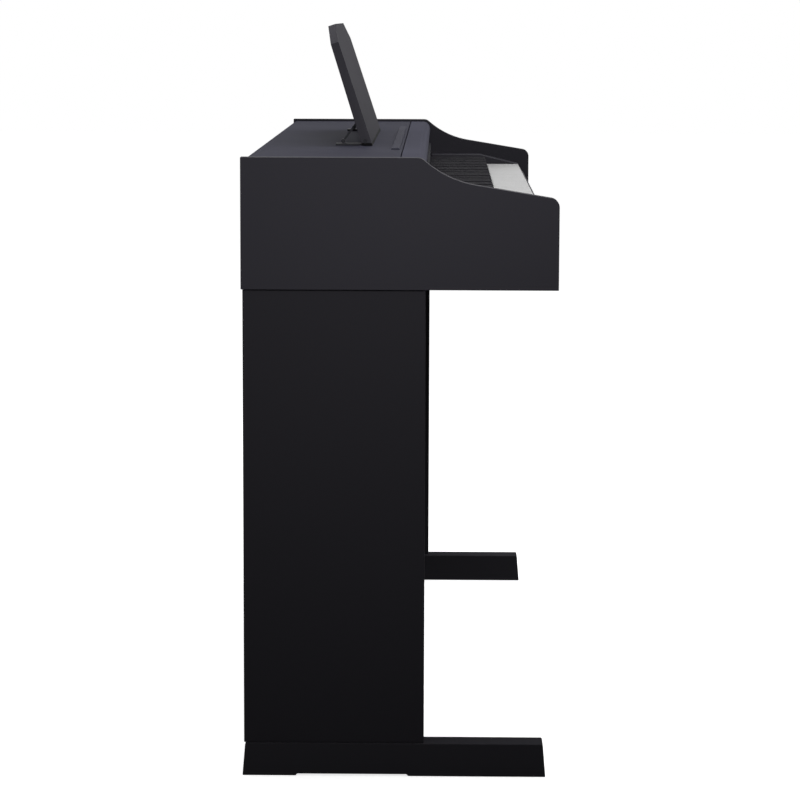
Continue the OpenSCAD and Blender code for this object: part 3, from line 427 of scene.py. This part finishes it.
# %% The top board's front and rear faces
SEAM = 0.0012
REAR_REACH = 0.004
FACE_BAND = 0.002
lid = bpy.data.objects["top_lid_board"]
lid_front = min(v.co.y for v in lid.data.vertices)
lid_rear = max(v.co.y for v in lid.data.vertices)
for edge_y, shift in ((lid_front, SEAM), (lid_rear, REAR_REACH)):
    for v in lid.data.vertices:
        if abs(v.co.y - edge_y) < FACE_BAND:
            v.co.y += shift
print("top board from", round(lid_front + SEAM, 4), "to", round(lid_rear + REAR_REACH, 4))

# %% [markdown]
# The music rest stands on a strip of black rubber, with shade in the gap under it. The desk is cut
# by one plane a few millimetres up, and what lies below takes a near-black finish: rubber together with
# painted shade.

# %% Rubber strip and painted shade under the music rest
# The band below this height is painted near-black: rubber and the painted shade of the gap under the desk.
DARK_BAND_H = 0.0038
DARK_BAND_SLOT = 1
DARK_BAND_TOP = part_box("music_rest")[0][2] + DARK_BAND_H
desk = bpy.data.objects["music_desk"]
bpy.ops.object.select_all(action="DESELECT")
desk.select_set(True)
bpy.context.view_layer.objects.active = desk
bpy.ops.object.mode_set(mode="EDIT")
bpy.ops.mesh.select_all(action="SELECT")
bpy.ops.mesh.bisect(plane_co=(0.0, 0.0, DARK_BAND_TOP), plane_no=(0.0, 0.0, 1.0))
bpy.ops.object.mode_set(mode="OBJECT")
desk.data.materials.append(RUBBER_AND_PAINTED_SHADE)
for face in desk.data.polygons:
    if face.center.z < DARK_BAND_TOP:
        face.material_index = DARK_BAND_SLOT
print("rubber faces:", sum(1 for face in desk.data.polygons if face.material_index == DARK_BAND_SLOT))

# %% [markdown]
# The keys are moulded too. The black ones have softer edges than the white ones, and all of
# them are eased from a flatter angle on, so that the slopes of the black keys' ends count.

# %% Key tops with eased edges
WHITE_EASE_MM = 0.6
BLACK_EASE_MM = 0.9
KEY_SHARP = 25.0
for note in ("c", "cs", "d", "ds", "e", "f", "fs", "g", "gs", "a", "as", "b"):
    ease_mm = BLACK_EASE_MM if note.endswith("s") else WHITE_EASE_MM
    made = eased("key_" + note, "keys_" + note, ease_mm, sharp=KEY_SHARP)
    print(made.name, "faces:", len(made.data.polygons))

# %% [markdown]
# The small parts are modelled from primitives in edit mode. A few helpers keep the cells
# short: they pick faces and edges by place and direction, apply a modifier, make a block or a
# turned shape, copy and join pieces, and settle() ends a piece by giving it its finish and
# seating it on the body that carries it.

# %% Helpers for new pieces
TOUCH = 0.0001
FACING = 0.9


def set_mode(mode):
    """Edit or object mode for the active piece."""
    bpy.ops.object.mode_set(mode=mode)


def pick_faces(piece, test):
    """Edit mode with only the faces selected whose centre and normal pass the test."""
    set_mode("EDIT")
    bpy.ops.mesh.select_mode(type="FACE")
    bpy.ops.mesh.select_all(action="DESELECT")
    set_mode("OBJECT")
    for face in piece.data.polygons:
        face.select = bool(test(face.center, face.normal))
    set_mode("EDIT")


def pick_edges(piece, test):
    """Edit mode with only the edges selected whose two ends pass the test."""
    set_mode("EDIT")
    bpy.ops.mesh.select_mode(type="EDGE")
    bpy.ops.mesh.select_all(action="DESELECT")
    set_mode("OBJECT")
    corners = piece.data.vertices
    for edge in piece.data.edges:
        edge.select = bool(test(corners[edge.vertices[0]].co, corners[edge.vertices[1]].co))
    set_mode("EDIT")


def apply_modifier(piece, kind, **settings):
    """Adds a modifier with its settings and applies it."""
    set_mode("OBJECT")
    modifier = piece.modifiers.new(kind.lower(), kind)
    for key, value in settings.items():
        setattr(modifier, key, value)
    bpy.ops.object.modifier_apply(modifier=modifier.name)


def block(name, low, high):
    """A block between two corners, selected alone, with its place in its mesh."""
    bpy.ops.object.select_all(action="DESELECT")
    bpy.ops.mesh.primitive_cube_add(size=1.0)
    piece = bpy.context.object
    piece.name = name
    piece.scale = [b - a for a, b in zip(low, high)]
    piece.location = [(a + b) / 2 for a, b in zip(low, high)]
    bpy.ops.object.transform_apply(location=True, rotation=True, scale=True)
    return piece


def turned(name, profile, steps=48):
    """A shape turned about the Z axis from a profile of [radius, height] in millimetres."""
    bpy.ops.object.select_all(action="DESELECT")
    bpy.ops.mesh.primitive_plane_add(size=0.001)
    piece = bpy.context.object
    piece.name = name
    set_mode("EDIT")
    bpy.ops.mesh.select_mode(type="VERT")
    bpy.ops.mesh.select_all(action="SELECT")
    bpy.ops.mesh.merge(type="CENTER")
    points = [Vector((r / 1000.0, 0.0, z / 1000.0)) for r, z in profile]
    bpy.ops.transform.translate(value=points[0])
    for here, there in zip(points, points[1:]):
        bpy.ops.mesh.extrude_vertices_move(TRANSFORM_OT_translate={"value": there - here})
    bpy.ops.mesh.select_all(action="SELECT")
    bpy.ops.mesh.spin(steps=steps, angle=2 * pi, center=(0.0, 0.0, 0.0), axis=(0.0, 0.0, 1.0))
    bpy.ops.mesh.select_all(action="SELECT")
    bpy.ops.mesh.remove_doubles(threshold=MERGE_REACH)
    bpy.ops.mesh.normals_make_consistent(inside=False)
    set_mode("OBJECT")
    return piece


def copy_of(piece, place, out, scale=1.0):
    """A copy with its own mesh, its Z axis turned to out and its foot at the place."""
    twin = bpy.data.objects.new(piece.name + "_copy", piece.data.copy())
    bpy.context.scene.collection.objects.link(twin)
    turn = Vector(out).to_track_quat("Z", "Y").to_matrix().to_4x4()
    twin.data.transform(Matrix.Translation(place) @ turn @ Matrix.Scale(scale, 4))
    return twin


def joined(name, pieces):
    """Several pieces made one."""
    bpy.ops.object.select_all(action="DESELECT")
    for piece in pieces:
        piece.select_set(True)
    bpy.context.view_layer.objects.active = pieces[0]
    if len(pieces) > 1:
        bpy.ops.object.join()
    pieces[0].name = name
    return pieces[0]


def rounded(piece, width, sharp):
    """Rounds the edges that turn by more than sharp degrees. width is in metres."""
    apply_modifier(piece, "BEVEL", width=width, segments=2, limit_method="ANGLE", angle_limit=radians(sharp))


def settle(piece, finish, node, body=None, replaces=False):
    """Smooths a finished piece, gives it its finish and seats it on the body that carries the node."""
    if bpy.context.view_layer.objects.active:
        set_mode("OBJECT")
    bpy.ops.object.select_all(action="DESELECT")
    piece.select_set(True)
    bpy.context.view_layer.objects.active = piece
    if not piece.data.materials:
        piece.data.materials.append(finish)
    level_shading(piece)
    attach(piece, body or body_of(node))
    if replaces:
        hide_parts(node)
    print(piece.name, "faces:", len(piece.data.polygons))


print("helpers ready for", len(NODES), "nodes")

# %% [markdown]
# Pan-head screws hold the angle irons, the stand's back board and the cabinet's back board.
# One head is modelled once: a disc whose upper edge is rounded, with a cross recess cut by
# two crossed blades. Every other head is a copy of it, and the small ones are scaled.

# %% A pan-head screw with a cross recess
HEAD_R = 0.006
HEAD_H = 0.0035
HEAD_ROUND = 0.0018
RECESS_LOW = 0.0016
RECESS_HIGH = 0.005
BLADE_HALF_L = 0.003
BLADE_HALF_T = 0.0006
bpy.ops.object.select_all(action="DESELECT")
bpy.ops.mesh.primitive_cylinder_add(vertices=32, radius=HEAD_R, depth=HEAD_H, location=(0.0, 0.0, HEAD_H / 2))
screw = bpy.context.object
bpy.ops.object.transform_apply(location=True, rotation=True, scale=True)
pick_edges(screw, lambda a, b: min(a.z, b.z) > HEAD_H - TOUCH)
bpy.ops.mesh.bevel(offset=HEAD_ROUND, segments=4)
set_mode("OBJECT")
blades = [
    block("blade", (-half_x, -half_y, RECESS_LOW), (half_x, half_y, RECESS_HIGH))
    for half_x, half_y in ((BLADE_HALF_L, BLADE_HALF_T), (BLADE_HALF_T, BLADE_HALF_L))]
for blade in blades:
    bpy.ops.object.select_all(action="DESELECT")
    bpy.context.view_layer.objects.active = screw
    screw.select_set(True)
    apply_modifier(screw, "BOOLEAN", operation="DIFFERENCE", object=blade, solver="EXACT")
for blade in blades:
    bpy.data.objects.remove(blade)
print("screw faces:", len(screw.data.polygons))

# %% [markdown]
# Each angle iron has one screw up into the bed and one into the leg. The stand's back board
# is held by two screws at each end, and the cabinet's back board by three in each half.

# %% Every screw in its place
leg_low, leg_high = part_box("leg_right")
bed_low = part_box("keybed")[0]
stand_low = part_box("stand_back_board")[0]
rear_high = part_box("back_board")[1]
LEG_IN = leg_low[0]
BED_Z = bed_low[2]
IRON_T = 0.0025
IRON_HALF = 0.018
IRON_Y = (0.145, leg_low[1] + 0.040)
BED_SCREW_IN = 0.024
LEG_SCREW_DOWN = 0.026
STAND_SCREW_IN = 0.030
STAND_SCREW_Y = 0.191
STAND_SCREW_Z = (stand_low[2] + 0.040, leg_high[2] - 0.046)
STAND_SCREW_SIZE = 0.857
REAR_SCREWS = ((0.649, BED_Z + 0.030), (0.649, rear_high[2] - 0.024), (0.120, BED_Z + 0.030))
REAR_SCREW_SIZE = 0.75
UP = (0.0, 0.0, 1.0)
DOWN = (0.0, 0.0, -1.0)
TO_BACK = (0.0, 1.0, 0.0)
TO_FRONT = (0.0, -1.0, 0.0)
heads = []
for side in (-1.0, 1.0):
    for y in IRON_Y:
        heads.append(copy_of(screw, (side * (LEG_IN - BED_SCREW_IN), y, BED_Z - IRON_T), DOWN))
        heads.append(copy_of(screw, (side * (LEG_IN - IRON_T), y, BED_Z - LEG_SCREW_DOWN), (-side, 0.0, 0.0)))
    for z in STAND_SCREW_Z:
        place = (side * (LEG_IN - STAND_SCREW_IN), STAND_SCREW_Y, z)
        heads.append(copy_of(screw, place, TO_BACK, STAND_SCREW_SIZE))
    for x, z in REAR_SCREWS:
        heads.append(copy_of(screw, (side * x, rear_high[1], z), TO_BACK, REAR_SCREW_SIZE))
bpy.data.objects.remove(screw)
settle(joined("cross_head_screws", heads), PLATED_STEEL, "fasteners", replaces=True)

# %% [markdown]
# An angle iron is pressed from steel strip. The block of its upright plate is cut by one
# plane just under the bed, and the narrow face above the cut is drawn out to the other plate.
# The four outer corners are rounded as the press leaves them.

# %% Angle irons
IRON_H = 0.044
IRON_REACH = 0.040
IRON_CORNER = 0.007
IRON_EDGE = 0.0004
irons = []
for side in (-1.0, 1.0):
    for y in IRON_Y:
        near, far = sorted((side * LEG_IN, side * (LEG_IN - IRON_T)))
        iron = block("iron", (near, y - IRON_HALF, BED_Z - IRON_H), (far, y + IRON_HALF, BED_Z))
        set_mode("EDIT")
        bpy.ops.mesh.bisect(plane_co=(0.0, 0.0, BED_Z - IRON_T), plane_no=(0.0, 0.0, 1.0))
        pick_faces(iron, lambda c, n: c.z > BED_Z - IRON_T and n.x * side < -FACING)
        reach = (-side * (IRON_REACH - IRON_T), 0.0, 0.0)
        bpy.ops.mesh.extrude_region_move(TRANSFORM_OT_translate={"value": reach})
        tip = side * (LEG_IN - IRON_REACH)
        foot = BED_Z - IRON_H + TOUCH
        pick_edges(iron, lambda a, b: abs(a.y - b.y) < TOUCH and (
            max(abs(a.x - tip), abs(b.x - tip)) < TOUCH or max(a.z, b.z) < foot))
        bpy.ops.mesh.bevel(offset=IRON_CORNER, segments=5)
        rounded(iron, IRON_EDGE, 40.0)
        irons.append(iron)
settle(joined("angle_irons", irons), PLATED_STEEL, "fasteners", replaces=True)

# %% [markdown]
# Each speaker lies over its hole in the key bed and faces down. Its whole section is one
# profile turned round an axis: flange, pressed basket, magnet, and on the side that shows
# from below the dust cap, the paper cone and the rolled rubber edge.

# %% Speakers
BASKET = [(50.0, 0.2), (50.0, 2.6), (49.6, 3.0), (43.0, 3.0), (42.0, 4.0), (26.0, 25.5), (24.6, 27.0)]
MAGNET = [(26.0, 27.0), (26.0, 41.2), (25.2, 42.0), (0.0, 42.0)]
DUST_CAP = [(0.0, 12.5), (3.0, 12.7), (6.0, 13.5), (8.5, 14.8), (10.2, 16.6), (10.8, 18.0)]
CONE = [(14.0, 15.2), (20.0, 10.6), (26.0, 6.8), (31.5, 3.8)]
ROLLED_EDGE = [(32.0, 3.0), (32.6, 1.4), (34.2, 0.2), (36.5, -0.4), (38.8, 0.2), (40.4, 1.4), (41.0, 2.4)]
RIM = [(41.8, 2.4), (41.8, 0.4), (50.0, 0.2)]
FLANGE_R = 0.050
MAGNET_FROM = 0.0265
RUBBER_FROM = 0.0318
RUBBER_TO = 0.0415
RUBBER_UNDER = 0.0026
RUBBER_SLOT = 1
METAL_SLOT = 2
speaker_low, speaker_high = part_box("speakers")
SPEAKER_X = speaker_high[0] - FLANGE_R
SPEAKER_Y = (speaker_low[1] + speaker_high[1]) / 2
driver = turned("driver", BASKET + MAGNET + DUST_CAP + CONE + ROLLED_EDGE + RIM)
for finish in (SPEAKER_PAPER, SPEAKER_RUBBER, DULL_STEEL):
    driver.data.materials.append(finish)
for face in driver.data.polygons:
    across = (face.center.x ** 2 + face.center.y ** 2) ** 0.5
    if face.center.z > MAGNET_FROM or across > RUBBER_TO:
        face.material_index = METAL_SLOT
    elif across > RUBBER_FROM and face.center.z < RUBBER_UNDER:
        face.material_index = RUBBER_SLOT
pair = [copy_of(driver, (side * SPEAKER_X, SPEAKER_Y, speaker_low[2]), UP) for side in (-1.0, 1.0)]
bpy.data.objects.remove(driver)
settle(joined("speaker_drivers", pair), SPEAKER_PAPER, "speakers", replaces=True)

# %% [markdown]
# The sockets end in small turned parts: a round ring nut at each headphone socket, and a
# ring with a round pin in the power inlet.

# %% Socket rings and the inlet's pin
RING_PROFILE = [(3.35, 0.0), (3.35, 0.7), (3.7, 1.1), (5.2, 1.1), (5.6, 0.7), (5.6, 0.0), (3.35, 0.0)]
INLET_RING_PROFILE = [(2.9, -0.2), (2.9, 0.5), (3.2, 0.8), (4.4, 0.8), (4.7, 0.5), (4.7, -0.2), (2.9, -0.2)]
INLET_PIN_PROFILE = [(0.0, -0.6), (0.45, -0.7), (0.8, -1.1), (0.85, -1.6), (0.85, -9.8), (0.0, -9.8)]
PHONES_X = (-0.482, -0.448)
PHONES_Z = 0.6355
INLET = (0.351, 0.193, 0.711)
phones_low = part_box("headphone_box")[0]
ring = turned("ring", RING_PROFILE, 32)
rings = [copy_of(ring, (x, phones_low[1], PHONES_Z), TO_FRONT) for x in PHONES_X]
bpy.data.objects.remove(ring)
settle(joined("phones_ring_nuts", rings), PLATED_STEEL, "headphone_box")
inlet_ring = turned("inlet_ring", INLET_RING_PROFILE, 32)
inlet_pin = turned("inlet_pin", INLET_PIN_PROFILE, 24)
inlet_parts = [copy_of(part, INLET, TO_BACK) for part in (inlet_ring, inlet_pin)]
for part in (inlet_ring, inlet_pin):
    bpy.data.objects.remove(part)
settle(joined("inlet_ring_and_pin", inlet_parts), PLATED_STEEL, "jack_panel")

# %% [markdown]
# The pedal board stands on a screw foot. Its hand wheel has ribs for the fingers, made by
# pushing out every other pair of faces round its rim, and its stem is threaded.

# %% Pedal board's screw foot
wheel_low, wheel_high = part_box("pedal_adjuster")
WHEEL_R = (wheel_high[0] - wheel_low[0]) / 2
WHEEL_Y = (wheel_low[1] + wheel_high[1]) / 2
WHEEL_H = 0.010
RIB = 0.0009
RIB_STEPS = 36
THREAD_CREST = 4.9
THREAD_ROOT = 3.9
THREAD_PITCH = 2.0
STEM_SUNK = 0.0002
bpy.ops.object.select_all(action="DESELECT")
bpy.ops.mesh.primitive_cylinder_add(vertices=2 * RIB_STEPS, radius=WHEEL_R - RIB, depth=WHEEL_H,
    location=(0.0, WHEEL_Y, wheel_low[2] + WHEEL_H / 2))
wheel = bpy.context.object
wheel.name = "adjuster_wheel"
bpy.ops.object.transform_apply(location=True, rotation=True, scale=True)
pick_faces(wheel, lambda c, n: abs(n.z) < 0.1 and (
    int(((atan2(c.y - WHEEL_Y, c.x) + pi) / (2 * pi)) * RIB_STEPS) % 2 == 0))
bpy.ops.mesh.extrude_region_shrink_fatten(TRANSFORM_OT_shrink_fatten={"value": RIB})
rounded(wheel, 0.0004, 50.0)
stem_profile = [(0.0, 0.0)]
thread = 0.0
STEM_MM = (wheel_high[2] - wheel_low[2]) * 1000.0 - WHEEL_H * 1000.0
while thread < STEM_MM - THREAD_PITCH:
    stem_profile += [(THREAD_CREST, thread), (THREAD_ROOT, thread + THREAD_PITCH / 2)]
    thread += THREAD_PITCH
stem_profile += [(4.6, STEM_MM - 1.0), (3.8, STEM_MM), (0.0, STEM_MM)]
stem = turned("stem", stem_profile, 24)
stem_part = copy_of(stem, (0.0, WHEEL_Y, wheel_low[2] + WHEEL_H - STEM_SUNK), UP)
bpy.data.objects.remove(stem)
settle(wheel, GEAR_PLASTIC, "pedal_adjuster", replaces=True)
settle(joined("adjuster_thread", [stem_part]), PLATED_STEEL, "pedal_adjuster", replaces=True)

# %% [markdown]
# The slider's cap has five grip ridges. Its block is cut into strips and every other strip
# of its front is set back a little. The lever that carries the cap through the slot is a
# narrow blade that widens towards the cap.

# %% Volume slider's cap and lever
slider_low, slider_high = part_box("volume_slider")
CAP_GAP = 0.0004
CAP_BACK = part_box("control_panel")[0][1] - CAP_GAP
CAP_W = slider_high[0] - slider_low[0]
CAP_X = (slider_low[0] + slider_high[0]) / 2
CAP_Z = (slider_low[2] + slider_high[2]) / 2
STRIPS = 9
GROOVE = 0.0008
LEVER_HALF_W = 0.002
LEVER_HALF_T = 0.001
LEVER_INTO_CAP = 0.001
LEVER_FLARE = (1.4, 1.0, 1.6)
cap = block("volume_cap", slider_low, (slider_high[0], CAP_BACK, slider_high[2]))
for strip in range(1, STRIPS):
    set_mode("EDIT")
    bpy.ops.mesh.select_all(action="SELECT")
    cut_x = slider_low[0] + CAP_W * strip / STRIPS
    bpy.ops.mesh.bisect(plane_co=(cut_x, 0.0, 0.0), plane_no=(1.0, 0.0, 0.0))
pick_faces(cap, lambda c, n: n.y < -FACING and int((c.x - slider_low[0]) / CAP_W * STRIPS) % 2 == 1)
bpy.ops.mesh.extrude_region_move(TRANSFORM_OT_translate={"value": (0.0, GROOVE, 0.0)})
rounded(cap, 0.00015, 40.0)
settle(cap, BUTTON_PLASTIC, "volume_slider", replaces=True)
lever = block("volume_lever",
    (CAP_X - LEVER_HALF_W, CAP_BACK - LEVER_INTO_CAP, CAP_Z - LEVER_HALF_T),
    (CAP_X + LEVER_HALF_W, slider_high[1], CAP_Z + LEVER_HALF_T))
pick_faces(lever, lambda c, n: n.y < -FACING)
bpy.ops.transform.resize(value=LEVER_FLARE, center_override=(CAP_X, CAP_BACK, CAP_Z))
rounded(lever, 0.0002, 40.0)
settle(lever, DULL_STEEL, "volume_slider", replaces=True)

# %% [markdown]
# A small red lamp beside the power button shows that the piano is on. Its lens is a shallow
# dome with a flat rim.

# %% Power lamp
LENS_PROFILE = [(0.0, 1.1), (0.6, 1.02), (1.1, 0.8), (1.45, 0.4), (1.6, 0.0), (1.6, -0.4), (0.0, -0.4)]
LAMP_ASIDE = 0.007
button_low, button_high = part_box("power_button")
lamp_z = (button_low[2] + button_high[2]) / 2
LAMP_PLACE = (button_high[0] + LAMP_ASIDE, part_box("control_panel")[0][1], lamp_z)
lens = turned("lens", LENS_PROFILE, 24)
lens_part = copy_of(lens, LAMP_PLACE, TO_FRONT)
bpy.data.objects.remove(lens)
settle(joined("power_lamp_lens", [lens_part]), LAMP_LENS, "control_panel")
